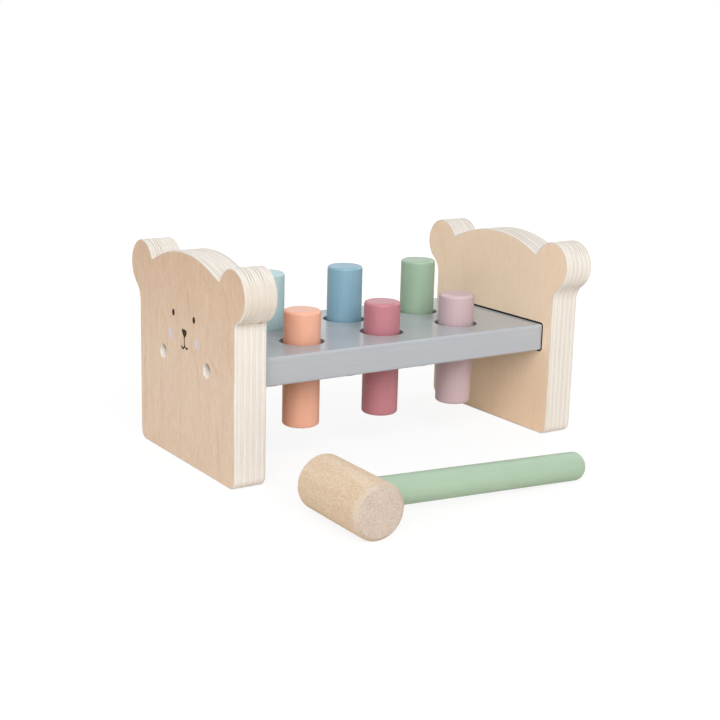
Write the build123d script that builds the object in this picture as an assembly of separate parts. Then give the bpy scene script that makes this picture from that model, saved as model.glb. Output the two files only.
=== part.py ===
from build123d import *
import math
import os

# A hammer peg toy: a painted plank between two bear-headed plywood panels,
# six painted pegs that rubber rings hold in its holes, and a wooden mallet.
# Sizes are in millimetres. X runs along the bench, -Y is the front and +Z is up.
# The origin is the middle of the whole set's footprint, on the floor.

# The plank, whose ends stand in shallow housings cut into the panels
bench_length = 185.0  # the part of the plank that shows between the panels
plank_width = 92.5
plank_thickness = 15.0
plank_top_height = 64.0
plank_edge_radius = 1.2
housing_depth = 3.0
housing_clearance = 1.0

# The side panels, cut from plywood to the outline of a bear's head
panel_thickness = 18.0
panel_width = 109.0
crown_height = 112.5
crown_radius = 84.0
ear_radius = 13.8
ear_drop = 14.3
ear_spacing = 102.4
neck_radius = 10.0
left_front_neck_radius = 3.5
notch_radius = 1.5
foot_radius = 5.5
panel_edge_radius = 1.0

# The pegs, in two rows, and the holes that they run through
peg_radius = 10.0
peg_length = 63.0
peg_edge_radius = 1.8
peg_pitch = 51.2
row_spacing = 38.2
front_peg_top = 81.0
back_peg_top = 94.9
hole_radius = 12.0
hole_rim_radius = 0.4

# The rubber rings, each in a groove round its hole at mid-thickness
ring_section_radius = 1.5
ring_grip_clearance = 0.05
ring_seat_clearance = 0.05

# The wood screws, two through each panel into the plank's end
screw_spacing = 50.0
screw_drop = 1.1
screw_length = 30.0
screw_shank_radius = 2.0
screw_point_length = 5.0
screw_head_radius = 3.7
screw_head_height = 2.7
screw_head_edge_radius = 1.3
screw_hole_clearance = 0.2
pilot_clearance = 0.05
counterbore_radius = 4.0
counterbore_depth = 8.0

# The mallet, which lies in front of the bench on its head and the tip of its handle
mallet_head_radius = 14.0
mallet_head_length = 52.0
mallet_head_chamfer = 2.0
mallet_rim_radius = 0.8
handle_radius = 7.5
handle_length = 146.0
handle_tip_radius = 5.0
socket_depth = 18.0
glue_clearance = 0.05
mallet_to_left = 85.7
mallet_to_front = 120.9
mallet_turn_degrees = -0.7

# How far each cut runs past the surface that it opens
overrun = 2.0

# The pegs' colours from left to right
peg_rows = {
    "front": ("orange", "rose", "pink"),
    "back": ("mint", "blue", "green"),
}

from_below = (Align.CENTER, Align.CENTER, Align.MIN)
from_above = (Align.CENTER, Align.CENTER, Align.MAX)


def peg_places():
    """Where each peg stands: along the plank, across it, and the height of its top."""
    sides = {"front": -row_spacing / 2, "back": row_spacing / 2}
    tops = {"front": front_peg_top, "back": back_peg_top}
    places = {}
    for row, colours in peg_rows.items():
        middle = (len(colours) - 1) / 2
        for index, colour in enumerate(colours):
            places[colour] = ((index - middle) * peg_pitch, sides[row], tops[row])
    return places


def plank_middle_height():
    return plank_top_height - plank_thickness / 2


def plank_length():
    return bench_length + 2 * housing_depth


def screw_height():
    return plank_middle_height() - screw_drop


def screw_sides():
    return {"front": -screw_spacing / 2, "back": screw_spacing / 2}


def tangent_centre(first, first_reach, second, second_reach):
    """The point at these distances from two centres, to the left of the way between them."""
    way = second - first
    along = (first_reach**2 - second_reach**2 + way.length**2) / (2 * way.length)
    aside = math.sqrt(first_reach**2 - along**2)
    ahead = way.normalized()
    left = Vector(-ahead.Y, ahead.X)
    return first + ahead * along + left * aside


def toward(centre, target, distance):
    return centre + (target - centre).normalized() * distance


def half_outline(under_ear_radius):
    """Half a bear's head: a round foot, a straight side, then neck, ear, notch and crown."""
    side = panel_width / 2
    ear = Vector(ear_spacing / 2, crown_height - ear_drop)
    crown = Vector(0, crown_height - crown_radius)

    neck_reach = ear_radius + under_ear_radius
    neck_aside = side + under_ear_radius - ear.X
    neck_drop = math.sqrt(neck_reach**2 - neck_aside**2)
    neck = Vector(side + under_ear_radius, ear.Y - neck_drop)
    notch = tangent_centre(crown, crown_radius + notch_radius, ear, ear_radius + notch_radius)

    neck_on_side = Vector(side, neck.Y)
    ear_start = toward(ear, neck, ear_radius)
    ear_end = toward(ear, notch, ear_radius)
    crown_start = toward(crown, notch, crown_radius)

    with BuildLine() as half:
        sole = Line((0, 0), (side - foot_radius, 0))
        foot = TangentArc(sole @ 1, (side, foot_radius), tangent=sole % 1)
        flank = Line(foot @ 1, neck_on_side)
        under_ear = TangentArc(flank @ 1, ear_start, tangent=flank % 1)
        round_ear = TangentArc(ear_start, ear_end, tangent=under_ear % 1)
        in_notch = TangentArc(ear_end, crown_start, tangent=round_ear % 1)
        TangentArc(crown_start, (0, crown_height), tangent=in_notch % 1)
    return half.line


def bear_outline(front_neck_radius):
    """The whole head, upright, with its front half on the left."""
    back_half = half_outline(neck_radius)
    front_half = mirror(half_outline(front_neck_radius), about=Plane.YZ)
    return make_face(back_half.edges() + front_half.edges())


def housing():
    """The recess for the plank's end: its corners run round the plank's at an even gap."""
    recess = Box(
        plank_width + 2 * housing_clearance,
        plank_thickness + 2 * housing_clearance,
        2 * housing_depth,
    )
    corners = recess.edges().filter_by(Axis.Z)
    return fillet(corners, plank_edge_radius + housing_clearance)


def side_panel(front_neck_radius):
    """A panel lying on its inner face, with its screw holes opening upwards."""
    panel = extrude(bear_outline(front_neck_radius), panel_thickness)
    flat_faces = panel.faces().filter_by(Axis.Z)
    panel = fillet(flat_faces.edges(), panel_edge_radius)
    panel -= Pos(0, plank_middle_height(), 0) * housing()
    through = Cylinder(
        screw_shank_radius + screw_hole_clearance,
        panel_thickness + 2 * overrun,
        align=from_below,
    )
    counterbore = Cylinder(counterbore_radius, counterbore_depth + overrun, align=from_below)
    for side in screw_sides().values():
        panel -= Pos(side, screw_height(), -overrun) * through
        panel -= Pos(side, screw_height(), panel_thickness - counterbore_depth) * counterbore
    return panel


def wood_screw():
    """A screw with its point down and the underside of its head at the origin."""
    head = Cylinder(screw_head_radius, screw_head_height, align=from_below)
    head = fillet(head.edges().sort_by(Axis.Z)[-1], screw_head_edge_radius)
    shank_length = screw_length - screw_point_length
    shank = Cylinder(screw_shank_radius, shank_length, align=from_above)
    point = Cone(0, screw_shank_radius, screw_point_length, align=from_above)
    return head + shank + Pos(0, 0, -shank_length) * point


def bench_plank():
    """The painted plank, with a ring groove in each peg hole and pilot holes in its ends."""
    plank = Box(plank_length(), plank_width, plank_thickness)
    plank = fillet(plank.edges(), plank_edge_radius)
    hole = Cylinder(hole_radius, plank_thickness + 2 * overrun)
    for along, across, top in peg_places().values():
        plank -= Pos(along, across) * hole
    rims = plank.edges().filter_by(lambda edge: edge.is_closed)
    plank = fillet(rims, hole_rim_radius)

    ring_outer_radius = peg_radius + ring_grip_clearance + 2 * ring_section_radius
    groove = Cylinder(
        ring_outer_radius + ring_seat_clearance,
        2 * (ring_section_radius + ring_seat_clearance),
    )
    for along, across, top in peg_places().values():
        plank -= Pos(along, across) * groove

    in_plank = screw_length - (panel_thickness - counterbore_depth - housing_depth)
    pilot = Cylinder(
        screw_shank_radius + pilot_clearance,
        2 * (in_plank + pilot_clearance),
        rotation=(0, 90, 0),
    )
    for end in (-plank_length() / 2, plank_length() / 2):
        for side in screw_sides().values():
            plank -= Pos(end, side, -screw_drop) * pilot
    return Pos(0, 0, plank_middle_height()) * plank


def grip_ring():
    """The rubber ring: it hugs the peg and its outer half sits in the hole's groove."""
    centre_radius = peg_radius + ring_grip_clearance + ring_section_radius
    return Torus(centre_radius, ring_section_radius)


def peg():
    """A dowel with both ends rounded, its top at the origin."""
    dowel = Cylinder(peg_radius, peg_length, align=from_above)
    ends = dowel.edges().filter_by(GeomType.CIRCLE)
    return fillet(ends, peg_edge_radius)


def mallet_head():
    """A round block lying along Y, with chamfered rims and a blind socket facing +X."""
    block = Cylinder(mallet_head_radius, mallet_head_length, rotation=(90, 0, 0))
    block = chamfer(block.edges().filter_by(GeomType.CIRCLE), mallet_head_chamfer)
    block = fillet(block.edges().filter_by(GeomType.CIRCLE), mallet_rim_radius)
    socket = Cylinder(
        handle_radius + glue_clearance,
        socket_depth + overrun,
        rotation=(0, 90, 0),
        align=from_below,
    )
    return block - Pos(mallet_head_radius - socket_depth, 0, 0) * socket


def mallet_handle():
    """A dowel from the bottom of the head's socket along +X to its rounded tip."""
    dowel = Cylinder(handle_radius, handle_length, align=from_below)
    dowel = fillet(dowel.edges().sort_by(Axis.Z)[-1], handle_tip_radius)
    return Pos(mallet_head_radius - socket_depth, 0, 0) * Rot(0, 90, 0) * dowel


def mallet_droop_degrees():
    """The handle's slope when both the head and the rounded tip touch the floor."""
    reach = handle_length - socket_depth + mallet_head_radius - handle_tip_radius
    core = handle_radius - handle_tip_radius
    fall = mallet_head_radius - handle_tip_radius
    slope = math.asin(fall / math.hypot(reach, core)) - math.atan2(core, reach)
    return math.degrees(slope)


def at_both_ends(right_piece, left_piece):
    """Stand a right and a left piece, both made lying on the panel's inner face, at the ends."""
    end = Pos(bench_length / 2, 0, 0) * Plane.YZ.location
    return {"right": end * right_piece, "left": mirror(end * left_piece, about=Plane.YZ)}


def all_pieces():
    """Every piece in its place, measured from the floor under the plank's middle."""
    pieces = {"bench_plank": bench_plank()}

    panels = at_both_ends(side_panel(neck_radius), side_panel(left_front_neck_radius))
    for end, panel in panels.items():
        pieces[f"{end}_side_panel"] = panel
    for row, side in screw_sides().items():
        screw = Pos(side, screw_height(), panel_thickness - counterbore_depth) * wood_screw()
        for end, standing_screw in at_both_ends(screw, screw).items():
            pieces[f"{end}_{row}_screw"] = standing_screw

    for colour, (along, across, top) in peg_places().items():
        pieces[f"{colour}_peg"] = Pos(along, across, top) * peg()
        pieces[f"{colour}_grip_ring"] = Pos(along, across, plank_middle_height()) * grip_ring()

    lying = Pos(-mallet_to_left, -mallet_to_front, mallet_head_radius)
    lying = lying * Rot(0, 0, mallet_turn_degrees) * Rot(0, mallet_droop_degrees(), 0)
    pieces["mallet_head"] = lying * mallet_head()
    pieces["mallet_handle"] = lying * mallet_handle()
    return pieces


def footprint_middle(pieces):
    """The middle of the whole set's footprint, at the height of its lowest point."""
    boxes = [piece.bounding_box() for piece in pieces.values()]
    left = min(box.min.X for box in boxes)
    right = max(box.max.X for box in boxes)
    front = min(box.min.Y for box in boxes)
    back = max(box.max.Y for box in boxes)
    lowest = min(box.min.Z for box in boxes)
    return Vector((left + right) / 2, (front + back) / 2, lowest)


pieces = all_pieces()
origin = footprint_middle(pieces)
os.makedirs("parts", exist_ok=True)
for name, piece in pieces.items():
    export_step(Pos(-origin.X, -origin.Y, -origin.Z) * piece, f"parts/{name}.step")
print(f"origin taken from the bench's middle: {-origin.X:.4f} {-origin.Y:.4f} {-origin.Z:.4f}")
print(f"handle slope: {mallet_droop_degrees():.3f} degrees")
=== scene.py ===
# %% [markdown]
# # A hammer peg toy
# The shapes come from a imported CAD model: a painted plank between two plywood panels
# cut like a bear's head, six painted pegs and a wooden mallet. This notebook gives each
# of them the finish of the real thing, adds the small pieces that the CAD model leaves
# plain, and lights the toy softly for a camera. Everything is in metres, +Z is up, and
# the front of the toy is towards -Y.

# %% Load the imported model
import math

import bmesh
import bpy
from mathutils import Matrix, Vector


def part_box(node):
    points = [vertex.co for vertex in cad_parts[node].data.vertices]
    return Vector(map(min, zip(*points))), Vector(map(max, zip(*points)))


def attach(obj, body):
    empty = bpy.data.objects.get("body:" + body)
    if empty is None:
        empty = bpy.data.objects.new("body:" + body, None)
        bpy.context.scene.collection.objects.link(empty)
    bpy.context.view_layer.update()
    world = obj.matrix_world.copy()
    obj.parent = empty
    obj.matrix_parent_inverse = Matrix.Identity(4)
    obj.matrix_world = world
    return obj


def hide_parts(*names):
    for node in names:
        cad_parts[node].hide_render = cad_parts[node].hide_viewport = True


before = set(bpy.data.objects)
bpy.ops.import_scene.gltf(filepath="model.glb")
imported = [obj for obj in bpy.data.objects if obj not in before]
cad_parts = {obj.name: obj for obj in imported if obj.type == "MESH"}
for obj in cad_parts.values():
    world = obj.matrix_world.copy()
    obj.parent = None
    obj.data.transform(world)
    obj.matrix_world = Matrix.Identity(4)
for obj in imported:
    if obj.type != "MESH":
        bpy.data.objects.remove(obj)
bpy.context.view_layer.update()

mm = 0.001
plank_low, plank_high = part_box("bench_plank")
bench_middle = (plank_low + plank_high) / 2
print("nodes:", len(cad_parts), "middle of the plank:", [round(v, 4) for v in bench_middle])

# %% [markdown]
# ## The camera
# The toy is seen from its front left and a little from above. A camera looks along its
# own -Z, so the direction from the aim point back to the camera becomes its Z axis, and
# a small roll about that axis gives the picture its tilt. Placing it by an aim point, a
# distance and three angles keeps each number easy to check. The lamps are placed by the
# same two functions.

# %% Places round the toy
def way_from(turn, rise):
    """The direction out from the toy at a bearing from its front and a rise, in degrees."""
    turn, rise = math.radians(turn), math.radians(rise)
    return Vector((
        math.sin(turn) * math.cos(rise),
        -math.cos(turn) * math.cos(rise),
        math.sin(rise),
    ))


def looking_at(target, way, distance):
    """The place of a camera or lamp that looks at a target from a distance along a way."""
    facing = way.to_track_quat("Z", "Y").to_matrix().to_4x4()
    return Matrix.Translation(target + way * distance) @ facing


print("the way to the front:", [round(v, 2) for v in way_from(turn=0, rise=0)])

# %% Camera
aim = Vector((-0.943 * mm, bench_middle.y, 43.634 * mm))
camera_way = way_from(turn=-33.827, rise=13.513)
camera_distance = 763.79 * mm
camera_roll = math.radians(1.487)
camera = bpy.data.objects.new("camera", bpy.data.cameras.new("camera"))
camera.matrix_world = (
    looking_at(aim, camera_way, camera_distance) @ Matrix.Rotation(camera_roll, 4, "Z")
)
camera.data.lens = 67.598
camera.data.sensor_width = 36.0
camera.data.clip_start = 0.01
bpy.context.scene.collection.objects.link(camera)
bpy.context.scene.camera = camera
bpy.context.scene.view_settings.view_transform = "Standard"
print("camera at", [round(v, 4) for v in camera.matrix_world.translation])

# %% [markdown]
# ## Helpers for node trees
# A written colour such as "#c9b29a" is sRGB, but nodes reckon in linear light, so one
# function turns it by the formula of the sRGB standard. Another function adds a node,
# applies its settings, feeds its inputs with numbers or links and hands back one of its
# outputs, so that a tree reads from top to bottom like a recipe. Two more start a material
# and plug its finished patterns into its shader.

# %% Helpers
def linear(hex_colour):
    """The linear colour, with alpha, of a written sRGB one."""
    shares = [int(hex_colour[start:start + 2], 16) / 255 for start in (1, 3, 5)]
    return (*[s / 12.92 if s <= 0.04045 else ((s + 0.055) / 1.055) ** 2.4 for s in shares], 1.0)


def add(tree, kind, inputs=(), output=None, **settings):
    """Add a node. Inputs go by name or in order, and a list links several into one."""
    node = tree.nodes.new(kind)
    for name, value in settings.items():
        setattr(node, name, value)
    sockets = [socket for socket in node.inputs if socket.enabled]
    named = inputs.items() if isinstance(inputs, dict) else enumerate(inputs)
    for key, value in named:
        by_name = (socket for socket in sockets if socket.name == key)
        socket = sockets[key] if isinstance(key, int) else next(by_name)
        for item in value if isinstance(value, list) else [value]:
            if isinstance(item, bpy.types.NodeSocket):
                tree.links.new(item, socket)
            elif item is not None:
                socket.default_value = item
    outputs = [socket for socket in node.outputs if socket.enabled]
    return next((socket for socket in outputs if output in (None, socket.name)), node)


def new_finish(name, **values):
    """A material with its one shader, whose sockets take the values given by their names."""
    finish = bpy.data.materials.new(name)
    finish.use_nodes = True
    shader = finish.node_tree.nodes["Principled BSDF"]
    for words, value in values.items():
        shader.inputs[words.replace("_", " ")].default_value = value
    return finish, finish.node_tree, shader


def plug_in(tree, shader, **patterns):
    """Link patterns to the shader's sockets, given by their names."""
    for words, pattern in patterns.items():
        tree.links.new(pattern, shader.inputs[words.replace("_", " ")])


print("white is", linear("#ffffff"))

# %% [markdown]
# ## Light
# The toy stands in plain studio light: a white surround that reaches every side, a wide
# soft box in front, near the camera, weak ones on the left and the right that reach
# between the panels, and one high behind for the tops. The surround shines more weakly on
# the toy than it looks, so Light Path tells the camera and the reflections, which see it
# at full white, from the light that falls on the toy. That fill is a touch warm, as light
# is that has bounced about a room with wooden things in it.

# %% World
surround_light, seen_light = 0.22, 1.0
fill_colour, seen_colour = linear("#fff1e6"), linear("#ffffff")
world = bpy.data.worlds.new("white_surround")
world.use_nodes = True
bpy.context.scene.world = world
tree = world.node_tree
seen = add(tree, "ShaderNodeLightPath", output="Is Camera Ray")
light_path = seen.node
for name in ("Is Glossy Ray", "Is Transmission Ray"):
    seen = add(tree, "ShaderNodeMath", (seen, light_path.outputs[name]), operation="MAXIMUM")
strength = add(tree, "ShaderNodeMix", (seen, surround_light, seen_light))
colour = add(tree, "ShaderNodeMix", (seen, fill_colour, seen_colour), data_type="RGBA")
plug_in(tree, tree.nodes["Background"], Color=colour, Strength=strength)
print("surround shines at", surround_light)

# %% Lamps
lamp_distance = 1.7


def soft_lamp(name, turn, rise, size, share):
    """A soft box at a bearing from the toy. Its share of full light falls on a sheet facing it."""
    lamp = bpy.data.objects.new(name, bpy.data.lights.new(name, "AREA"))
    lamp.data.shape = "RECTANGLE"
    lamp.data.size, lamp.data.size_y = size
    lamp.data.energy = share * math.pi**2 * lamp_distance**2
    lamp.matrix_world = looking_at(bench_middle, way_from(turn, rise), lamp_distance)
    bpy.context.scene.collection.objects.link(lamp)
    print(name, round(lamp.data.energy, 1), "W")


soft_lamp("front_soft_box", turn=-22, rise=34, size=(1.7, 1.1), share=0.9)
soft_lamp("left_soft_box", turn=-80, rise=28, size=(1.2, 1.0), share=0.18)
soft_lamp("right_soft_box", turn=95, rise=28, size=(1.2, 1.0), share=0.22)
soft_lamp("top_soft_box", turn=172, rise=48, size=(1.2, 1.2), share=0.24)

# %% [markdown]
# ## The floor
# The toy stands on plain white paper. A wide disc does for it: to the camera it is pure
# white, mostly by a glow that grows to full white further out, and it still darkens a
# little under the toy, where the contact shadow is what makes the toy stand rather than
# float. To the toy it is lit paper, whose warm light from below fills the undersides.

# %% Floor
floor_radius, floor_corners = 4.0, 96
near_glow, full_glow = 0.86, 1.0
glow_grows_from, glow_is_full_at = 0.25, 0.7

paper, tree, shader = new_finish(
    "white_paper", Roughness=0.9, Specular_IOR_Level=0.1, Emission_Color=linear("#ffffff")
)
to_camera = add(tree, "ShaderNodeLightPath", output="Is Camera Ray")
place = add(tree, "ShaderNodeTexCoord", output="Object")
reach = add(tree, "ShaderNodeVectorMath", (place,), output="Value", operation="LENGTH")
far = add(
    tree,
    "ShaderNodeMapRange",
    (reach, glow_grows_from, glow_is_full_at),
    interpolation_type="SMOOTHSTEP",
)
glow = add(tree, "ShaderNodeMapRange", (far, 0.0, 1.0, near_glow, full_glow))
glow = add(tree, "ShaderNodeMath", (glow, to_camera), operation="MULTIPLY")
colour = add(
    tree, "ShaderNodeMix", (to_camera, linear("#f4eee8"), linear("#6c6c6c")), data_type="RGBA"
)
plug_in(tree, shader, Base_Color=colour, Emission_Strength=glow)

turns = [2 * math.pi * step / floor_corners for step in range(floor_corners)]
corners = [(floor_radius * math.cos(turn), floor_radius * math.sin(turn), 0) for turn in turns]
disc = bpy.data.meshes.new("floor")
disc.from_pydata(corners, [], [tuple(range(floor_corners))])
disc.materials.append(paper)
floor = bpy.data.objects.new("floor", disc)
bpy.context.scene.collection.objects.link(floor)
print("floor:", floor_radius, "m in radius")

# %% [markdown]
# ## Patterns at their real size
# Wood is drawn with long thin blotches. A Mapping node set to Texture divides the object's
# coordinates by a size in millimetres, so a noise that is 0.8 by 0.8 by 20 is a fibre. The
# object's coordinates never move with the camera, and a CAD node keeps its place in its
# mesh, so the same pattern shows on every side. Several patterns are added up by weight,
# about a middle of 0.5, and the sum then mixes two colours of the same wood.

# %% Blotches
def blotches(tree, place, size, detail=2.0, turn=(0, 0, 0)):
    """Soft blotches, 0 to 1, of a size in millimetres along the turned x, y and z."""
    real_size = tuple(s * mm for s in size)
    scaled = add(
        tree,
        "ShaderNodeMapping",
        {"Vector": place, "Rotation": turn, "Scale": real_size},
        vector_type="TEXTURE",
    )
    return add(tree, "ShaderNodeTexNoise", {"Vector": scaled, "Scale": 1.0, "Detail": detail})


def weighed(tree, *shares):
    """The sum of patterns that run from 0 to 1, each times its weight, about 0.5."""
    total = 0.5 - sum(weight for pattern, weight in shares) / 2
    for pattern, weight in shares:
        total = add(tree, "ShaderNodeMath", (pattern, weight, total), operation="MULTIPLY_ADD")
    return total


def dress(name, finish):
    """Give a CAD node its finish. Its mesh stays as it is."""
    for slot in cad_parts[name].material_slots:
        slot.material = finish
    print(name, "wears", finish.name)

# %% [markdown]
# ## Birch veneer
# The panels are birch plywood under a clear matt lacquer. Their flat faces are rotary-cut
# veneer: a warm beige with fine upright fibres, faint curved figure where the knife ran
# through the growth rings, and short flecks. A slow change between a yellower and a
# pinker beige keeps the sheet from looking printed. The ring lines run down the sheet in a
# lazy S, and come and go.

# %% Veneer sizes
# Each pattern's size is in millimetres, through the sheet, across it and up it. Fibres of
# 0.8 mm are as fine as a pixel, so some are drawn at 1.6 mm as well.
veneer_sizes = {
    "fibres": (8, 0.8, 4.5),
    "coarse fibres": (20, 1.6, 16),
    "mottle": (12, 3.5, 7),
    "bands": (40, 11, 60),
    "flecks": (6, 0.8, 4),
    "warmth": (60, 22, 40),
    "ring wander": (70, 24, 50),
    "ring fade": (60, 14, 40),
}
lean = (math.radians(3), 0, 0)
ring_spacing, ring_width, ring_wander = 21 * mm, 1.8 * mm, 16 * mm
bend_low, bend_high, bend_reach = 55 * mm, 105 * mm, 9.5 * mm
dark_from, dark_full = 50 * mm, 115 * mm
foot_from, foot_full = 62 * mm, 25 * mm
print("ring lines every", round(ring_spacing / mm, 1), "mm")

# %% Veneer
def ring_lines(tree, place, figure):
    """The growth rings' dark lines, 0 to 1. One of them runs at the Y called figure."""
    parts = add(tree, "ShaderNodeSeparateXYZ", (place,)).node.outputs
    climb = add(tree, "ShaderNodeMapRange", (parts["Z"], bend_low, bend_high, -1.0, 1.0))
    bend = add(tree, "ShaderNodeMath", (climb, climb), operation="MULTIPLY")
    bend = add(tree, "ShaderNodeMath", (bend, climb), operation="MULTIPLY")
    bend = add(tree, "ShaderNodeMath", (bend, bend_reach), operation="MULTIPLY")
    wander = blotches(tree, place, veneer_sizes["ring wander"], 2, lean)
    wander = add(tree, "ShaderNodeMath", (wander, ring_wander, figure), operation="MULTIPLY_ADD")
    lines = add(tree, "ShaderNodeMath", (parts["Y"], bend), operation="SUBTRACT")
    lines = add(tree, "ShaderNodeMath", (lines, wander), operation="SUBTRACT")
    lines = add(tree, "ShaderNodeMath", (lines, ring_spacing / 2), operation="PINGPONG")
    lines = add(
        tree, "ShaderNodeMapRange", (lines, ring_width, 0.0), interpolation_type="SMOOTHSTEP"
    )
    fade = blotches(tree, place, veneer_sizes["ring fade"], 1, lean)
    fade = add(tree, "ShaderNodeMapRange", (fade, 0.4, 0.6))
    return add(tree, "ShaderNodeMath", (lines, fade), operation="MULTIPLY")


def veneer_pattern(tree, place, yellow, pink, late, dark_top, foot, figure):
    """The colour of the veneer, and its fibres.

    Late is the darker wood of the fibres. Dark top is how much of it is added towards the
    top, and foot is a tint that grows towards the floor.
    """
    fibres = blotches(tree, place, veneer_sizes["fibres"], 3, lean)
    coarse_fibres = blotches(tree, place, veneer_sizes["coarse fibres"], 3, lean)
    mottle = blotches(tree, place, veneer_sizes["mottle"], 2, lean)
    bands = blotches(tree, place, veneer_sizes["bands"], 2, lean)
    rings = ring_lines(tree, place, figure)
    flecks = blotches(tree, place, veneer_sizes["flecks"], 1, lean)
    flecks = add(tree, "ShaderNodeMapRange", (flecks, 0.64, 0.76), interpolation_type="SMOOTHSTEP")
    height = add(tree, "ShaderNodeSeparateXYZ", (place,), output="Z")
    darker = add(tree, "ShaderNodeMapRange", (height, dark_from, dark_full, 0.0, dark_top))
    tone = weighed(
        tree, (fibres, 1.0), (coarse_fibres, 0.4), (mottle, 0.4), (bands, 0.3), (rings, 0.3)
    )
    tone = add(tree, "ShaderNodeMath", (flecks, 0.3, tone), operation="MULTIPLY_ADD")
    tone = add(tree, "ShaderNodeMath", (tone, darker), operation="ADD")
    warmth = blotches(tree, place, veneer_sizes["warmth"])
    warmth = add(tree, "ShaderNodeMapRange", (warmth, 0.3, 0.7))
    early = add(tree, "ShaderNodeMix", (warmth, linear(yellow), linear(pink)), data_type="RGBA")
    colour = add(tree, "ShaderNodeMix", (tone, early, linear(late)), data_type="RGBA")
    low = add(tree, "ShaderNodeMapRange", (height, foot_from, foot_full))
    colour = add(
        tree,
        "ShaderNodeMix",
        (low, colour, linear(foot)),
        data_type="RGBA",
        blend_type="MULTIPLY",
    )
    return colour, coarse_fibres

# %% [markdown]
# ## Bores and housings
# Two kinds of cut show a different surface. The counterbores for the screws were drilled
# after the lacquer, so their walls are bare and paler, and a painted highlight lightens them
# further, with a painted shade deep in their upper half. In the shallow housings for the
# plank's ends, a painted shadow, near-black brown, makes the narrow gap round the plank look
# nearly black. Masks made of distances find both from the places of the screws and of the
# plank, so nothing has to be painted by hand.

# %% Bores
panel_low, panel_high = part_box("right_side_panel")
front_screw_low, front_screw_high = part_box("right_front_screw")
back_screw_low, back_screw_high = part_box("right_back_screw")
front_screw = (front_screw_low + front_screw_high) / 2
back_screw = (back_screw_low + back_screw_high) / 2
rows_middle = (front_screw + back_screw) / 2
bore_reach = 5 * mm
# Where the painted shade deep in a bore begins and where it is full.
bore_shade_from, bore_shade_full = 3.2 * mm, 4.6 * mm
bore_shade_depth_weight = 1.4
print("screws", round((back_screw.y - front_screw.y) / mm, 1), "mm apart")


def bored(tree, place, colour):
    """The colour of a cut edge, but bare with a painted highlight and a painted shade in the bores
    round the screws.
    """
    spots = add(tree, "ShaderNodeVectorMath", (place, tuple(rows_middle)), operation="SUBTRACT")
    spots = add(tree, "ShaderNodeVectorMath", (spots,), operation="ABSOLUTE")
    half_spacing = (0.0, back_screw.y - rows_middle.y, 0.0)
    spots = add(tree, "ShaderNodeVectorMath", (spots, half_spacing), operation="SUBTRACT")
    spots = add(tree, "ShaderNodeVectorMath", (spots, (0.0, 1.0, 1.0)), operation="MULTIPLY")
    reach = add(tree, "ShaderNodeVectorMath", (spots,), output="Value", operation="LENGTH")
    bare = add(tree, "ShaderNodeMath", (reach, bore_reach), operation="LESS_THAN")
    # The painted shade grows with the depth, which counts for more, and with the height.
    parts = add(tree, "ShaderNodeSeparateXYZ", (place,)).node.outputs
    depth = add(tree, "ShaderNodeMath", (parts["X"],), operation="ABSOLUTE")
    depth = add(tree, "ShaderNodeMath", (panel_high.x, depth), operation="SUBTRACT")
    rise = add(tree, "ShaderNodeMath", (parts["Z"], rows_middle.z), operation="SUBTRACT")
    slant = add(
        tree, "ShaderNodeMath", (depth, bore_shade_depth_weight, rise), operation="MULTIPLY_ADD"
    )
    bore_shade = add(tree, "ShaderNodeMapRange", (slant, bore_shade_from, bore_shade_full))
    # The wall is bare wood painted paler still as a highlight, and its darker colour is a painted
    # shade.
    wall = add(
        tree, "ShaderNodeMix", (bore_shade, linear("#fffaf2"), linear("#d2cabf")), data_type="RGBA"
    )
    return add(tree, "ShaderNodeMix", (bare, colour, wall), data_type="RGBA")

# %% Housings
# How far round the plank's ends the painted shadow of the gap reaches.
gap_shadow_reach = 1.5 * mm
skin_depth = 0.1 * mm
print("the plank's ends lie", round((plank_high.x - panel_low.x) / mm, 1), "mm deep")


def gap_shadowed(tree, place, colour):
    """A colour, but with a painted near-black shadow near the plank and deeper than a panel's
    inner face.
    """
    far = add(tree, "ShaderNodeVectorMath", (place, tuple(bench_middle)), operation="SUBTRACT")
    far = add(tree, "ShaderNodeVectorMath", (far,), operation="ABSOLUTE")
    plank_half = (plank_high - plank_low) / 2 + Vector((1, 1, 1)) * gap_shadow_reach
    far = add(tree, "ShaderNodeVectorMath", (far, tuple(plank_half)), operation="SUBTRACT")
    far = add(tree, "ShaderNodeSeparateXYZ", (far,)).node.outputs
    outside = add(tree, "ShaderNodeMath", (far["X"], far["Y"]), operation="MAXIMUM")
    outside = add(tree, "ShaderNodeMath", (outside, far["Z"]), operation="MAXIMUM")
    inside = add(tree, "ShaderNodeMath", (outside, 0.0), operation="LESS_THAN")
    depth = add(tree, "ShaderNodeSeparateXYZ", (place,), output="X")
    depth = add(tree, "ShaderNodeMath", (depth,), operation="ABSOLUTE")
    deep = add(tree, "ShaderNodeMath", (depth, panel_low.x + skin_depth), operation="GREATER_THAN")
    # A painted shadow, near-black brown, fills the gap round the plank's ends.
    in_gap_shadow = add(tree, "ShaderNodeMath", (inside, deep), operation="MULTIPLY")
    return add(tree, "ShaderNodeMix", (in_gap_shadow, colour, linear("#2e2219")), data_type="RGBA")
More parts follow.
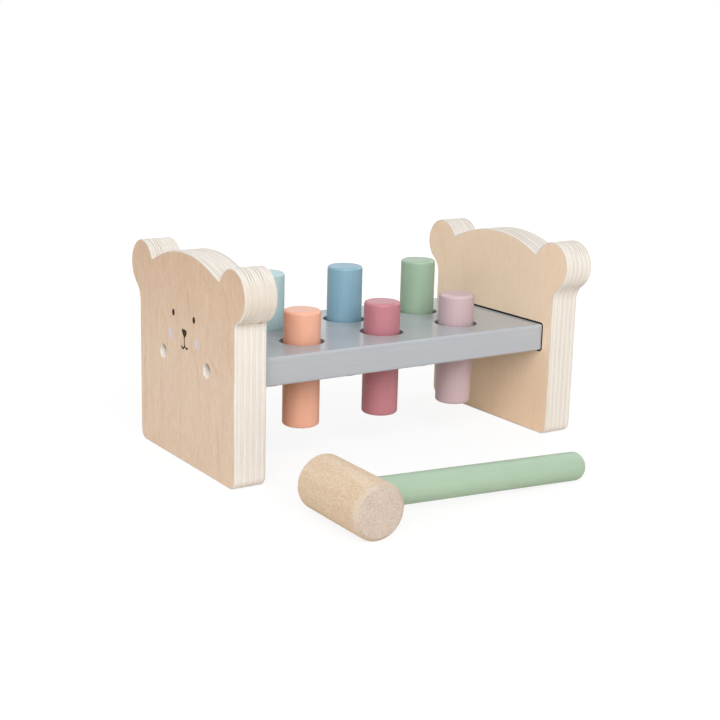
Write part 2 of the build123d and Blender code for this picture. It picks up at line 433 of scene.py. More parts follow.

# %% [markdown]
# ## Birch plies
# Round the outline the saw shows the plies. Each is turned by a right angle to the next,
# so on an upright edge every other ply shows its end grain, and on a level edge the ones
# between do. The surface's own direction says which: the cosine of twice its slope is 1 on
# an upright edge, -1 on a level one and 0 on the slant, where all plies look alike. Thin
# glue lines run between them, and stand out unevenly on a level edge, and a few small
# voids open where a core ply has split. On the printed panel, the saw also tore out a row
# of specks in the creases under the ears, and a painted shade darkens the ears' upright edges.

# %% Ply sizes
# Each pattern's size is in millimetres, through the panel, along it and up it. A ply's
# stripe wanders by a share of a ply, and the crease lies where an ear meets its neck.
ply_sizes = {
    "wander": (60, 25, 25),
    "voids": (1.5, 2.2, 2.2),
    "specks": (1.6, 1.0, 1.0),
    "hairs": (0.5, 14, 14),
    "layers": (1.1, 40, 40),
    "pores": (0.6, 1.4, 1.4),
    "uneven glue": (2.6, 60, 60),
}
ply_count = 11
ply_thickness = (panel_high.x - panel_low.x) / ply_count
ply_wander = 0.4
crease_height, crease_reach = 84.9 * mm, 0.7 * mm
# Heights and strength of the painted shade on the ears' upright edges.
ear_from, ear_full, ear_shade_share, ear_shade_tone = 82 * mm, 88 * mm, 0.6, 1.2
print("plies of", round(ply_thickness / mm, 2), "mm")

# %% Stripes and seams
def ply_stripes(tree, place, upright):
    """Stripes, 0 to 1, one for each ply, and the distance to the nearest seam, in plies."""
    depth = add(tree, "ShaderNodeSeparateXYZ", (place,), output="X")
    depth = add(tree, "ShaderNodeMath", (depth,), operation="ABSOLUTE")
    depth = add(tree, "ShaderNodeMath", (depth, panel_low.x), operation="SUBTRACT")
    depth = add(tree, "ShaderNodeMath", (depth, ply_thickness), operation="DIVIDE")
    wander = blotches(tree, place, ply_sizes["wander"])
    depth = add(tree, "ShaderNodeMath", (wander, ply_wander, depth), operation="MULTIPLY_ADD")
    depth = add(tree, "ShaderNodeMath", (depth, ply_wander / 2), operation="SUBTRACT")
    stripes = add(tree, "ShaderNodeMath", (depth, math.pi), operation="MULTIPLY")
    stripes = add(tree, "ShaderNodeMath", (stripes,), operation="SINE")
    stripes = add(tree, "ShaderNodeMath", (stripes, upright), operation="MULTIPLY")
    stripes = add(
        tree, "ShaderNodeMapRange", (stripes, -0.6, 0.6), interpolation_type="SMOOTHSTEP"
    )
    seam = add(tree, "ShaderNodeMath", (depth, 0.5), operation="PINGPONG")
    return stripes, seam


def dark_glue(tree, place, seam, level):
    """The glue lines, 0 to 1, that stand out here and there on a level edge."""
    lines = add(tree, "ShaderNodeMapRange", (seam, 0.3, 0.0), interpolation_type="SMOOTHSTEP")
    uneven = blotches(tree, place, ply_sizes["uneven glue"], 1)
    uneven = add(tree, "ShaderNodeMapRange", (uneven, 0.46, 0.6, 0.1, 0.8))
    lines = add(tree, "ShaderNodeMath", (lines, uneven), operation="MULTIPLY")
    return add(tree, "ShaderNodeMath", (lines, level), operation="MULTIPLY")


def torn_specks(tree, place, height, torn):
    """Specks, 0 to the share called torn, in a row along the creases under the ears."""
    specks = blotches(tree, place, ply_sizes["specks"], 1)
    specks = add(tree, "ShaderNodeMapRange", (specks, 0.58, 0.7, 0.0, torn))
    crease = add(
        tree, "ShaderNodeMath", (height, crease_height, crease_reach), operation="COMPARE"
    )
    return add(tree, "ShaderNodeMath", (specks, crease), operation="MULTIPLY")

# %% Plies
def ply_pattern(tree, place, normal, contrast, torn):
    """The colour of the cut edge, and its stripes.

    Contrast is how far the plies differ. Torn is 1 on the panel whose ears the saw tore
    and whose upright ear edges get a painted shade, and 0 on the other.
    """
    slope = add(tree, "ShaderNodeVectorMath", (normal, normal), operation="MULTIPLY")
    slope = add(tree, "ShaderNodeSeparateXYZ", (slope,)).node.outputs
    upright = add(tree, "ShaderNodeMath", (slope["Y"], slope["Z"]), operation="SUBTRACT")
    level = add(tree, "ShaderNodeMapRange", (upright, 0.7, 0.0))
    steep = add(tree, "ShaderNodeMath", (1.0, level), operation="SUBTRACT")
    stripes, seam = ply_stripes(tree, place, upright)
    glue = add(tree, "ShaderNodeMapRange", (seam, 0.14, 0.0), interpolation_type="SMOOTHSTEP")
    lines = dark_glue(tree, place, seam, level)
    voids = blotches(tree, place, ply_sizes["voids"], 1)
    voids = add(tree, "ShaderNodeMapRange", (voids, 0.73, 0.78), interpolation_type="SMOOTHSTEP")
    voids = add(tree, "ShaderNodeMath", (voids, glue), operation="MULTIPLY")
    height = add(tree, "ShaderNodeSeparateXYZ", (place,), output="Z")
    specks = torn_specks(tree, place, height, torn)
    hairs = blotches(tree, place, ply_sizes["hairs"], 3)
    layers = blotches(tree, place, ply_sizes["layers"])
    pores = blotches(tree, place, ply_sizes["pores"])
    tone = weighed(
        tree, (stripes, contrast), (hairs, 1.3), (layers, 0.6), (pores, 0.5), (glue, 0.45)
    )
    # A painted shade darkens the ears' upright edges and evens out their plies.
    ear_shade = add(
        tree, "ShaderNodeMapRange", (height, ear_from, ear_full, 0.0, ear_shade_share * torn)
    )
    ear_shade = add(tree, "ShaderNodeMath", (ear_shade, steep), operation="MULTIPLY")
    tone = add(tree, "ShaderNodeMix", (ear_shade, tone, ear_shade_tone))
    colour = add(
        tree, "ShaderNodeMix", (tone, linear("#e8e5df"), linear("#d3cabf")), data_type="RGBA"
    )
    for mask, hex_colour in ((lines, "#b0a396"), (voids, "#8a7358"), (specks, "#6b5642")):
        colour = add(tree, "ShaderNodeMix", (mask, colour, linear(hex_colour)), data_type="RGBA")
    return colour, stripes

# %% [markdown]
# ## Plywood
# One function joins the two patterns. The router that eased the panel's rims cut through
# the thin face veneer, so the veneer stops where the surface begins to turn, and the pale
# edge shows round each face as a bright line. The two panels come from different sheets:
# the plain one is lighter and yellower, partly as a painted light for its shaded inner
# face, and its plies differ more. The printed one darkens a little towards its top.

# %% Panels
grain_depth = 0.05 * mm
print("the grain stands", round(grain_depth / mm, 2), "mm high")


def plywood(name, yellow, pink, late, contrast, figure, dark_top=0.0, foot="#ffffff", torn=0.0):
    """Plywood under matt lacquer, with veneer on its flat faces and plies on its edges."""
    finish, tree, shader = new_finish(name, Specular_IOR_Level=0.35)
    place = add(tree, "ShaderNodeTexCoord", output="Object")
    normal = add(tree, "ShaderNodeTexCoord", output="Normal")
    veneer, fibres = veneer_pattern(tree, place, yellow, pink, late, dark_top, foot, figure)
    plies, stripes = ply_pattern(tree, place, normal, contrast, torn)
    plies = bored(tree, place, plies)
    across = add(tree, "ShaderNodeSeparateXYZ", (normal,), output="X")
    across = add(tree, "ShaderNodeMath", (across,), operation="ABSOLUTE")
    on_face = add(
        tree, "ShaderNodeMapRange", (across, 0.955, 0.998), interpolation_type="SMOOTHSTEP"
    )
    colour = add(tree, "ShaderNodeMix", (on_face, plies, veneer), data_type="RGBA")
    colour = gap_shadowed(tree, place, colour)
    height = add(tree, "ShaderNodeMix", (on_face, stripes, fibres))
    bump = add(
        tree, "ShaderNodeBump", {"Height": height, "Strength": 0.2, "Distance": grain_depth}
    )
    roughness = add(tree, "ShaderNodeMapRange", (fibres, 0.3, 0.7, 0.46, 0.6))
    plug_in(tree, shader, Base_Color=colour, Roughness=roughness, Normal=bump)
    return finish


printed_sheet = plywood(
    "birch_plywood_clear_lacquer", "#ebdac4", "#ead5c4", "#d3b79b", contrast=0.25,
    figure=bench_middle.y - 14 * mm, dark_top=0.5, torn=1.0,
)
# The plain sheet's lighter colours are partly a painted light for its shaded inner face.
plain_sheet = plywood(
    "light_birch_plywood_clear_lacquer", "#f8e5cb", "#f8e2cb", "#efd4b5", contrast=0.45,
    figure=bench_middle.y - 2 * mm, foot="#fffaf5",
)
dress("left_side_panel", printed_sheet)
dress("right_side_panel", plain_sheet)

# %% [markdown]
# ## Satin paint on wood
# The plank, the pegs and the mallet's handle are solid wood under a thin satin paint. The
# paint is one colour, but the wood's grain and the marks of sanding still show through it
# as faint lines in its height and sheen, so the finish takes the direction of the fibres
# and of the sanding. Satin means that a mirror image shows, but softly. A rounded rim gets
# a painted highlight, a shade lighter: the sine of twice the slope is 0 on a wall and on a
# flat top, and largest on the rim between them. One function makes them all, because only
# the colour, the sheen and the two directions differ.

# %% Painted wood
cloud_size = (14, 14, 14)
print("clouds in the paint:", cloud_size[0], "mm")


def satin_paint(name, colour, grain, marks, sheen, relief, rim=0.0, turn=(0, 0, 0)):
    """Paint over fibres and sanding marks, given by their sizes in millimetres."""
    finish, tree, shader = new_finish(name)
    place = add(tree, "ShaderNodeTexCoord", output="Object")
    fibres = blotches(tree, place, grain, 3, turn)
    sanding = blotches(tree, place, marks, 2, turn)
    cloud = blotches(tree, place, cloud_size)
    tone = weighed(tree, (fibres, 1.0), (sanding, 0.6), (cloud, 0.4))
    shade = add(tree, "ShaderNodeMapRange", (tone, 0.0, 1.0, 1.06, 0.94))
    slope = add(tree, "ShaderNodeTexCoord", output="Normal")
    slope = add(tree, "ShaderNodeSeparateXYZ", (slope,), output="Z")
    slope = add(tree, "ShaderNodeMath", (slope,), operation="ARCSINE")
    # A painted highlight lightens rounded rims, by the share called rim.
    on_rim = add(tree, "ShaderNodeMath", (slope, 2.0), operation="MULTIPLY")
    on_rim = add(tree, "ShaderNodeMath", (on_rim,), operation="SINE")
    on_rim = add(tree, "ShaderNodeMath", (on_rim,), operation="ABSOLUTE")
    shade = add(tree, "ShaderNodeMath", (on_rim, rim, shade), operation="MULTIPLY_ADD")
    base = add(
        tree,
        "ShaderNodeMix",
        (1.0, linear(colour), shade),
        data_type="RGBA",
        blend_type="MULTIPLY",
    )
    # The same painted shadow darkens the plank's wood inside the housings. Only the plank reaches
    # there.
    base = gap_shadowed(tree, place, base)
    roughness = add(tree, "ShaderNodeMapRange", (tone, 0.2, 0.8, sheen - 0.03, sheen + 0.04))
    bump = add(
        tree, "ShaderNodeBump", {"Height": tone, "Strength": relief, "Distance": grain_depth}
    )
    plug_in(tree, shader, Base_Color=base, Roughness=roughness, Normal=bump)
    return finish

# %% [markdown]
# ## The plank
# The plank's grey-blue paint was rubbed smoother than the pegs', so the pegs mirror in it
# as soft upright bands. Its grain runs along the bench, and hardly lifts the paint.

# %% Plank
plank_paint = satin_paint(
    "grey_blue_satin_paint_on_wood", "#b0b6bd",
    grain=(30, 1.2, 1.2), marks=(60, 2.5, 2.5), sheen=0.22, relief=0.05, rim=0.05,
)
dress("bench_plank", plank_paint)

# %% [markdown]
# ## The pegs
# Each peg is a dowel: its fibres run up it, and the lathe left very fine rings round it.

# %% Pegs
peg_colours = {
    "orange": "#ebb096",
    "rose": "#bc7a84",
    "pink": "#c5adb2",
    "mint": "#afced2",
    "blue": "#83acbf",
    "green": "#99b49c",
}
for peg, colour in peg_colours.items():
    paint = satin_paint(
        f"{peg}_satin_paint_on_dowel", colour,
        grain=(1.2, 1.2, 25), marks=(60, 60, 0.9), sheen=0.36, relief=0.15, rim=0.06,
    )
    dress(f"{peg}_peg", paint)

# %% [markdown]
# ## The mallet
# The head is a turned block of plain beech, sanded and clear lacquered. Its fibres run
# along it and end in its two faces, where they show as fine dots, a little greyer than
# the sides. The chamfers round the faces cut the fibres on the slant and look paler. The
# handle is a dowel with the same satin paint as the pegs. Both lie on the floor at a
# slight slope, so their patterns are turned with them.

# %% Mallet head
handle_droop, mallet_swing = math.radians(2.721), math.radians(-0.7)
mallet_turn = (0, handle_droop, mallet_swing)
beech_sizes = {
    "fibres": (0.9, 4, 0.9),
    "rays": (0.9, 1.1, 0.9),
    "bands": (6, 40, 6),
    "dots": (0.7, 0.7, 0.7),
}

beech, tree, shader = new_finish("turned_beech_clear_lacquer", Specular_IOR_Level=0.35)
place = add(tree, "ShaderNodeTexCoord", output="Object")
normal = add(tree, "ShaderNodeTexCoord", output="Normal")
fibres = blotches(tree, place, beech_sizes["fibres"], 3, mallet_turn)
rays = blotches(tree, place, beech_sizes["rays"], 2, mallet_turn)
bands = blotches(tree, place, beech_sizes["bands"], 2, mallet_turn)
dots = blotches(tree, place, beech_sizes["dots"], 2, mallet_turn)
side_tone = weighed(tree, (fibres, 0.9), (rays, 1.9), (bands, 0.7))
end_tone = weighed(tree, (dots, 2.0), (bands, 0.6))
side, rim, end = (
    add(tree, "ShaderNodeMix", (tone, linear(light), linear(dark)), data_type="RGBA")
    for tone, light, dark in (
        (side_tone, "#e4d3bd", "#cfb595"),
        (side_tone, "#cfc1b1", "#bbaa96"),
        (end_tone, "#d4c8bf", "#b6a495"),
    )
)
along = add(tree, "ShaderNodeSeparateXYZ", (normal,), output="Y")
along = add(tree, "ShaderNodeMath", (along,), operation="ABSOLUTE")
on_rim = add(tree, "ShaderNodeMapRange", (along, 0.25, 0.55), interpolation_type="SMOOTHSTEP")
on_end = add(tree, "ShaderNodeMapRange", (along, 0.9, 0.985), interpolation_type="SMOOTHSTEP")
colour = add(tree, "ShaderNodeMix", (on_rim, side, rim), data_type="RGBA")
colour = add(tree, "ShaderNodeMix", (on_end, colour, end), data_type="RGBA")
height = add(tree, "ShaderNodeMix", (on_end, fibres, dots))
bump = add(tree, "ShaderNodeBump", {"Height": height, "Strength": 0.2, "Distance": grain_depth})
roughness = add(tree, "ShaderNodeMapRange", (rays, 0.3, 0.7, 0.44, 0.56))
plug_in(tree, shader, Base_Color=colour, Roughness=roughness, Normal=bump)
dress("mallet_head", beech)

# %% Mallet handle
handle_paint = satin_paint(
    "pale_green_satin_paint_on_dowel", "#a2bca5",
    grain=(25, 1.2, 1.2), marks=(0.9, 60, 60), sheen=0.4, relief=0.15, turn=mallet_turn,
)
dress("mallet_handle", handle_paint)

# %% [markdown]
# ## The rubber rings
# A black rubber ring sits in a groove in the wall of each hole and grips its peg. Little
# of it shows: a dark crescent on each side of a peg. Moulded rubber is nearly black, matt,
# and lightly grained by the mould.

# %% Rubber
mould_grain_size = (0.4, 0.4, 0.4)
mould_grain_depth = 0.03 * mm
rubber, tree, shader = new_finish("moulded_black_rubber", IOR=1.52)
place = add(tree, "ShaderNodeTexCoord", output="Object")
grain = blotches(tree, place, mould_grain_size)
base = add(
    tree, "ShaderNodeMix", (grain, linear("#2b2a2b"), linear("#1b1a1b")), data_type="RGBA"
)
roughness = add(tree, "ShaderNodeMapRange", (grain, 0.3, 0.7, 0.55, 0.75))
bump = add(
    tree, "ShaderNodeBump", {"Height": grain, "Strength": 0.3, "Distance": mould_grain_depth}
)
plug_in(tree, shader, Base_Color=base, Roughness=roughness, Normal=bump)
for peg in peg_colours:
    dress(f"{peg}_grip_ring", rubber)

# %% [markdown]
# ## The wood screws
# Two screws through each panel hold the plank. Each has a pan head with a cross recess, a
# plain neck that turns freely in the panel, a thread and a point. Geometry Nodes suit
# them: one tree builds a screw from its sizes and sets it at four places, and a change to
# a size reaches them all. Where the screws stand is read from the CAD screws that they
# replace.

# %% Screw sizes
screw_names = [f"{end}_{row}_screw" for end in ("left", "right") for row in ("front", "back")]
head_height = 2.7 * mm
screw_sizes = {
    "Head radius": (front_screw_high.z - front_screw_low.z) / 2,
    "Head height": head_height,
    "Head rounding": 1.3 * mm,
    "Recess width": 4.4 * mm,
    "Recess thickness": 1.0 * mm,
    "Recess depth": 1.8 * mm,
    "Neck radius": 2.0 * mm,
    "Neck length": 10.0 * mm,
    "Core radius": 1.4 * mm,
    "Thread length": 15.0 * mm,
    "Thread pitch": 1.8 * mm,
    "Point length": 5.0 * mm,
    "Reach from the middle": front_screw_high.x - head_height,
    "Spacing": back_screw.y - front_screw.y,
    "Row middle": rows_middle.y,
    "Height above the floor": rows_middle.z,
}
print({name: round(value / mm, 2) for name, value in screw_sizes.items()})

# %% [markdown]
# ## Zinc-plated steel
# The screws are steel with a thin bright coat of zinc, which breaks the reflection up into
# small cloudy crystals, so both the colour and the roughness change over about a
# millimetre.

# %% Zinc
crystal_size = (1.2, 1.2, 1.2)
zinc, tree, shader = new_finish("zinc_plated_steel", Metallic=1.0)
place = add(tree, "ShaderNodeTexCoord", output="Object")
crystals = blotches(tree, place, crystal_size, 3)
base = add(
    tree, "ShaderNodeMix", (crystals, linear("#c3c9d1"), linear("#a7abb0")), data_type="RGBA"
)
roughness = add(tree, "ShaderNodeMapRange", (crystals, 0.3, 0.7, 0.25, 0.42))
plug_in(tree, shader, Base_Color=base, Roughness=roughness)
print("zinc crystals of", crystal_size[0], "mm")

# %% [markdown]
# ### The tree and its inputs
# Each size becomes an input of the tree, with its name, so that a screw of another size
# needs no change inside. Two nodes are used all through the tree: one hands out the
# inputs, and one gives the place of each point.

# %% Screw tree
screws = bpy.data.node_groups.new("wood_screws", "GeometryNodeTree")
for name, value in screw_sizes.items():
    socket = screws.interface.new_socket(name, in_out="INPUT", socket_type="NodeSocketFloat")
    socket.default_value = value
screws.interface.new_socket("Geometry", in_out="OUTPUT", socket_type="NodeSocketGeometry")
size = add(screws, "NodeGroupInput").node.outputs
here = add(screws, "GeometryNodeInputPosition")
axis = add(screws, "ShaderNodeSeparateXYZ", (here,)).node.outputs
print("inputs of the screw tree:", len(screw_sizes))

# %% [markdown]
# ### The head
# The head starts as a cylinder with many rings. A point that lies high enough is drawn in
# towards the axis by a quarter circle, whose height is the arcsine and whose reach is the
# cosine. Two bars, narrower below, are then cut out of it for the cross.

# %% Head
head = add(screws, "GeometryNodeMeshCylinder", {
    "Vertices": 40, "Side Segments": 14, "Fill Segments": 2,
    "Radius": size["Head radius"], "Depth": size["Head height"],
}, output="Mesh")
half = add(screws, "ShaderNodeMath", (size["Head height"], 0.5), operation="MULTIPLY")
start = add(screws, "ShaderNodeMath", (half, size["Head rounding"]), operation="SUBTRACT")
rise = add(screws, "ShaderNodeMapRange", (axis["Z"], start, half))
turn = add(screws, "ShaderNodeMath", (rise,), operation="ARCSINE")
keep = add(screws, "ShaderNodeMath", (turn,), operation="COSINE")
core = add(
    screws, "ShaderNodeMath", (size["Head radius"], size["Head rounding"]), operation="SUBTRACT"
)
core = add(screws, "ShaderNodeMath", (core, size["Head radius"]), operation="DIVIDE")
shrink = add(screws, "ShaderNodeMapRange", (keep, 0.0, 1.0, core, 1.0))
shrink = add(screws, "ShaderNodeCombineXYZ", (shrink, shrink, 1.0))
lift = add(screws, "ShaderNodeCombineXYZ", (0.0, 0.0, half))
moved = add(screws, "ShaderNodeVectorMath", (here, shrink, lift), operation="MULTIPLY_ADD")
head = add(screws, "GeometryNodeSetPosition", {"Geometry": head, "Position": moved})
print("nodes up to the head:", len(screws.nodes))

# %% Cross recess
recess_taper = 0.6
two_depths = add(screws, "ShaderNodeMath", (size["Recess depth"], 2.0), operation="MULTIPLY")
bar_size = add(
    screws, "ShaderNodeCombineXYZ", (size["Recess width"], size["Recess thickness"], two_depths)
)
bar = add(screws, "GeometryNodeMeshCube", {"Size": bar_size}, output="Mesh")
is_low = add(screws, "ShaderNodeMath", (axis["Z"], 0.0), operation="LESS_THAN")
taper = add(screws, "ShaderNodeMath", (is_low, -recess_taper, 1.0), operation="MULTIPLY_ADD")
taper = add(screws, "ShaderNodeCombineXYZ", (taper, 1.0, 1.0))
tapered = add(screws, "ShaderNodeVectorMath", (here, taper), operation="MULTIPLY")
bar = add(screws, "GeometryNodeSetPosition", {"Geometry": bar, "Position": tapered})
top = add(screws, "ShaderNodeCombineXYZ", (0.0, 0.0, size["Head height"]))
bars = [
    add(screws, "GeometryNodeTransform", {
        "Geometry": bar, "Translation": top, "Rotation": (0, 0, quarter * math.pi / 2),
    })
    for quarter in range(2)
]
head = add(
    screws,
    "GeometryNodeMeshBoolean",
    {"Mesh 1": head, "Mesh 2": bars},
    operation="DIFFERENCE",
    solver="EXACT",
)
print("bars cut out of the head:", len(bars))

# %% [markdown]
# ### Neck, core, point and thread
# Below the head hang two rods and a cone, each starting a little inside the one above. The
# thread is a three-sided wire swept along a spiral round the core.

# %% Rods
overlap = 0.4 * mm
tip_radius = 0.05 * mm


def rod(radius, top, length, foot_radius=None):
    """A rod that hangs down from a height, or a cone if it has a foot of another radius."""
    if foot_radius is None:
        foot_radius = radius
    body = add(screws, "GeometryNodeMeshCone", {
        "Vertices": 24, "Side Segments": 1,
        "Radius Top": foot_radius, "Radius Bottom": radius, "Depth": length,
    }, output="Mesh")
    place = add(screws, "ShaderNodeCombineXYZ", (0.0, 0.0, top))
    return add(screws, "GeometryNodeTransform", {
        "Geometry": body, "Translation": place, "Rotation": (math.pi, 0, 0),
    })


neck_length = add(screws, "ShaderNodeMath", (size["Neck length"], overlap), operation="ADD")
neck = rod(size["Neck radius"], overlap, neck_length)
thread_top = add(screws, "ShaderNodeMath", (overlap, size["Neck length"]), operation="SUBTRACT")
core_length = add(screws, "ShaderNodeMath", (size["Thread length"], overlap), operation="ADD")
core = rod(size["Core radius"], thread_top, core_length)
thread_foot = add(screws, "ShaderNodeMath", (thread_top, core_length), operation="SUBTRACT")
point = rod(size["Core radius"], thread_foot, size["Point length"], foot_radius=tip_radius)
print("each rod reaches", round(overlap / mm, 1), "mm into the one above")

# %% Thread
crest = add(
    screws, "ShaderNodeMath", (size["Neck radius"], size["Core radius"]), operation="SUBTRACT"
)
rounds = add(
    screws, "ShaderNodeMath", (size["Thread length"], size["Thread pitch"]), operation="DIVIDE"
)
spiral = add(screws, "GeometryNodeCurveSpiral", {
    "Resolution": 20, "Rotations": rounds, "Height": size["Thread length"],
    "Start Radius": size["Core radius"], "End Radius": size["Core radius"],
})
wedge = add(
    screws, "GeometryNodeCurvePrimitiveCircle", {"Resolution": 3, "Radius": crest}, output="Curve"
)
thread = add(screws, "GeometryNodeCurveToMesh", {
    "Curve": spiral, "Profile Curve": wedge, "Fill Caps": True,
})
foot_place = add(screws, "ShaderNodeCombineXYZ", (0.0, 0.0, thread_foot))
thread = add(screws, "GeometryNodeTransform", {"Geometry": thread, "Translation": foot_place})
print("rounds of thread:", round(screw_sizes["Thread length"] / screw_sizes["Thread pitch"], 1))

# %% [markdown]
# ### Four screws
# A grid of two by two points stands at the screws' places. Each point gets a screw that
# lies along X with its point towards the middle, spun by a random angle, because nobody
# stops driving screws at the same angle.

# %% Four screws
spin_seed = 5
screw = add(screws, "GeometryNodeJoinGeometry", {"Geometry": [head, neck, core, thread, point]})
length = add(
    screws, "ShaderNodeMath", (size["Reach from the middle"], 2.0), operation="MULTIPLY"
)
places = add(screws, "GeometryNodeMeshGrid", {
    "Size X": length, "Size Y": size["Spacing"], "Vertices X": 2, "Vertices Y": 2,
}, output="Mesh")
row_place = add(
    screws, "ShaderNodeCombineXYZ", (0.0, size["Row middle"], size["Height above the floor"])
)
places = add(screws, "GeometryNodeTransform", {"Geometry": places, "Translation": row_place})
side = add(screws, "ShaderNodeMath", (axis["X"],), operation="SIGN")
lay = add(screws, "ShaderNodeMath", (side, math.pi / 2), operation="MULTIPLY")
laid = add(screws, "ShaderNodeCombineXYZ", (0.0, lay, 0.0))
four = add(screws, "GeometryNodeInstanceOnPoints", {
    "Points": places, "Instance": screw, "Rotation": laid,
})
spin = add(screws, "FunctionNodeRandomValue", {"Min": 0.0, "Max": math.pi / 2, "Seed": spin_seed})
spin = add(screws, "ShaderNodeCombineXYZ", (0.0, 0.0, spin))
four = add(screws, "GeometryNodeRotateInstances", {"Instances": four, "Rotation": spin})
four = add(screws, "GeometryNodeRealizeInstances", {"Geometry": four})
four = add(screws, "GeometryNodeSetMaterial", {"Geometry": four, "Material": zinc})
add(screws, "NodeGroupOutput", (four,))
print("nodes in the whole tree:", len(screws.nodes))

# %% [markdown]
# ### From the tree to a mesh
# The tree runs as a modifier on an empty object, whose inputs are set by the sockets'
# identifiers. The result is copied out as a plain mesh, and the carrier goes.

# %% Plain mesh
carrier = bpy.data.objects.new("screw_carrier", bpy.data.meshes.new("screw_carrier"))
bpy.context.scene.collection.objects.link(carrier)
modifier = carrier.modifiers.new("wood_screws", "NODES")
modifier.node_group = screws
for socket in screws.interface.items_tree:
    if socket.in_out == "INPUT":
        modifier[socket.identifier] = screw_sizes[socket.name]
bpy.context.view_layer.update()
evaluated = carrier.evaluated_get(bpy.context.evaluated_depsgraph_get())
screw_mesh = bpy.data.meshes.new_from_object(evaluated)
bpy.data.objects.remove(carrier)
screw_mesh.name = "wood_screws"
screw_mesh.shade_smooth()
screw_mesh.set_sharp_from_angle(angle=math.radians(30))
wood_screws = bpy.data.objects.new("wood_screws", screw_mesh)
bpy.context.scene.collection.objects.link(wood_screws)
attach(wood_screws, "bench")
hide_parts(*screw_names)
screw_mesh.calc_loop_triangles()
print("screws:", len(screw_mesh.loop_triangles), "triangles")

# %% [markdown]
# ## The printed face
# A plain bear's face is printed on the outside of the left panel: two oval eyes, a small
# drop for a nose with a line down to the mouth, and two pale cheeks. Ink is a very thin
# film, so each print is a flat shape only a few hundredths of a millimetre thick, sunk
# into the veneer. Where two shapes of a print cross, each lies a hair lower than the one
# before it, because two faces in the same plane would fight for the same place. Places
# are in millimetres from the bench's middle and from the floor.

# %% Ovals and curves
def oval(middle, width, height, count=40):
    """The outline of an upright oval."""
    turns = [2 * math.pi * step / count for step in range(count)]
    across, up = middle
    return [(across + width / 2 * math.cos(t), up + height / 2 * math.sin(t)) for t in turns]


def smooth_line(points, steps=8):
    """Points along a curve that passes through the given ones."""
    padded = [points[0], *points, points[-1]]
    line = []
    for before, start, end, after in zip(padded, padded[1:], padded[2:], padded[3:]):
        for step in range(steps):
            t = step / steps
            line.append(tuple(
                b + t * (c - a) / 2
                + t**2 * (a - 2.5 * b + 2 * c - d / 2)
                + t**3 * (1.5 * b - a / 2 - 1.5 * c + d / 2)
                for a, b, c, d in zip(before, start, end, after)
            ))
    return [*line, points[-1]]


print("points of a curve through 3:", len(smooth_line([(0, 0), (1, 1), (2, 0)])))

# %% [markdown]
# ### Pen strokes
# The mouth's lines have an even width and round ends, like those of a felt pen. A stroke
# goes along one side of its line, round the tip in short steps, back along the other side
# and round the start.

# %% Pen strokes
def stroke(points, width, caps=6):
    """The outline of a pen stroke with round ends."""
    line = [Vector(point) for point in points]
    headings = []
    for index in range(len(line)):
        ahead = line[min(index + 1, len(line) - 1)] - line[max(index - 1, 0)]
        headings.append(math.atan2(ahead.y, ahead.x))
    outline = []
    for sign, order in ((1, range(len(line))), (-1, range(len(line) - 1, -1, -1))):
        for index in order:
            side = headings[index] + sign * math.pi / 2
            outline.append(line[index] + Vector((math.cos(side), math.sin(side))) * width / 2)
        tip = line[-1] if sign > 0 else line[0]
        start = headings[-1] + math.pi / 2 if sign > 0 else headings[0] - math.pi / 2
        for step in range(1, caps):
            turn = start - math.pi * step / caps
            outline.append(tip + Vector((math.cos(turn), math.sin(turn))) * width / 2)
    return [tuple(point) for point in outline]


print("points round a straight stroke:", len(stroke([(0, 0), (1, 0)], width=1)))

# %% Films of ink
print_proud, print_sunk, layer_step = 0.02 * mm, 0.05 * mm, 0.004 * mm
outer_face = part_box("left_side_panel")[0].x
print("printed on the plane x =", round(outer_face, 4))


def printed_piece(name, outlines, ink):
    """One thin film per outline, all in one mesh on the panel's outer face."""
    shape = bmesh.new()
    for layer, outline in enumerate(outlines):
        lower = layer * layer_step
        rings = [
            [shape.verts.new((x + lower, bench_middle.y + y * mm, z * mm)) for y, z in outline]
            for x in (outer_face - print_proud, outer_face + print_sunk)
        ]
        for ring in rings:
            shape.faces.new(ring)
        for index in range(len(outline)):
            after = (index + 1) % len(outline)
            shape.faces.new((rings[0][index], rings[0][after], rings[1][after], rings[1][index]))
    bmesh.ops.recalc_face_normals(shape, faces=shape.faces)
    mesh = bpy.data.meshes.new(name)
    shape.to_mesh(mesh)
    shape.free()
    mesh.materials.append(ink)
    piece = bpy.data.objects.new(name, mesh)
    bpy.context.scene.collection.objects.link(piece)
    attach(piece, "bench")
    print(name, "shapes:", len(outlines))

# %% [markdown]
# ## The inks
# The eyes, nose and mouth are a soft black-brown ink, matt, with the wood's fibres just
# showing in it. The cheeks are a pale pinkish white that covers the veneer thinly, so the
# fibres still show through as slightly darker streaks.

# %% Inks
ink_fibre_size = (8, 0.8, 14)


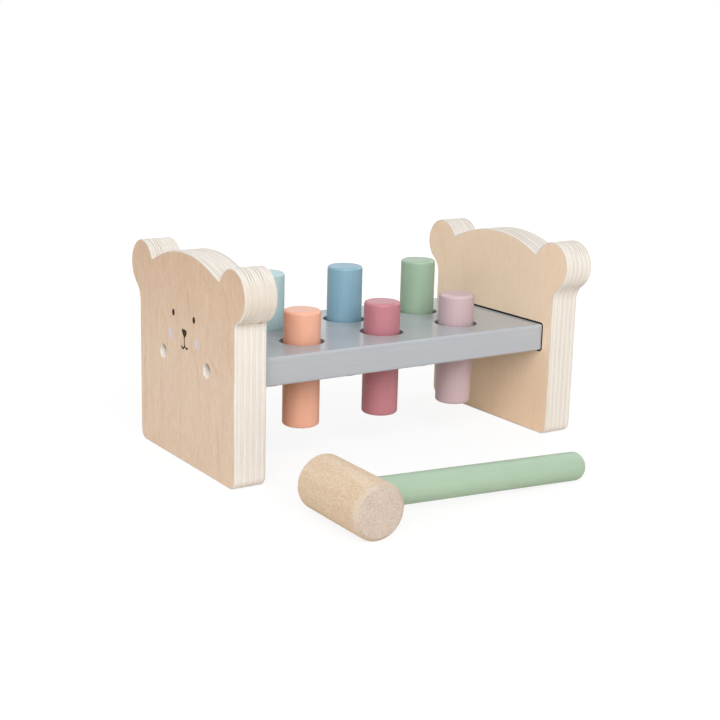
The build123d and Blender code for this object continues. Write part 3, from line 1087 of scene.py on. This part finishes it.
def print_ink(name, light, dark):
    """A matt ink whose two colours follow fibres like those of the veneer under it."""
    ink, tree, shader = new_finish(name, Specular_IOR_Level=0.2)
    place = add(tree, "ShaderNodeTexCoord", output="Object")
    fibres = blotches(tree, place, ink_fibre_size, 3, lean)
    fibres = add(tree, "ShaderNodeMapRange", (fibres, 0.3, 0.7))
    base = add(tree, "ShaderNodeMix", (fibres, linear(light), linear(dark)), data_type="RGBA")
    roughness = add(tree, "ShaderNodeMapRange", (fibres, 0.0, 1.0, 0.6, 0.7))
    plug_in(tree, shader, Base_Color=base, Roughness=roughness)
    print("ink:", name)
    return ink


dark_ink = print_ink("dark_brown_print_ink", "#3a2b26", "#2c201c")
pale_ink = print_ink("pale_pink_print_ink", "#e4dcdf", "#d8cac8")

# %% [markdown]
# ### The print
# Every place is written as how far it lies across the panel, towards its back, and how
# high it is. The eyes and cheeks are ovals, the nose is a closed curve, and the bridge and
# the two halves of the mouth are strokes of the pen.

# %% The print
eyes_across, eyes_up, eye_size = (12.78, -10.8), 78.9, (3.0, 3.6)
cheeks_across, cheeks_up, cheek_size = (16.17, -14.26), 67.1, (6.4, 6.0)
bridge_width, mouth_width = 0.95, 1.1
eyes = [oval((across, eyes_up), *eye_size) for across in eyes_across]
cheeks = [oval((across, cheeks_up), *cheek_size) for across in cheeks_across]
nose = smooth_line([
    (0.2, 67.4), (1.3, 68.5), (2.4, 69.9), (3.0, 71.2), (2.5, 71.95), (0.4, 72.1),
    (-1.8, 71.9), (-2.5, 71.1), (-2.3, 69.8), (-1.2, 68.4), (0.2, 67.4),
])[:-1]
bridge = stroke([(0.2, 68.2), (0.15, 66.0), (0.1, 63.6)], bridge_width)
smile = [
    [(3.5, 62.55), (2.6, 62.0), (1.4, 61.8), (0.6, 62.5), (0.1, 63.6)],
    [(0.1, 63.6), (-0.8, 62.8), (-2.0, 62.25), (-2.8, 62.2), (-3.4, 62.7)],
]
mouth = [stroke(smooth_line(half), mouth_width) for half in smile]
printed_piece("eye_print", eyes, dark_ink)
printed_piece("nose_and_mouth_print", [nose, bridge, *mouth], dark_ink)
printed_piece("cheek_print", cheeks, pale_ink)
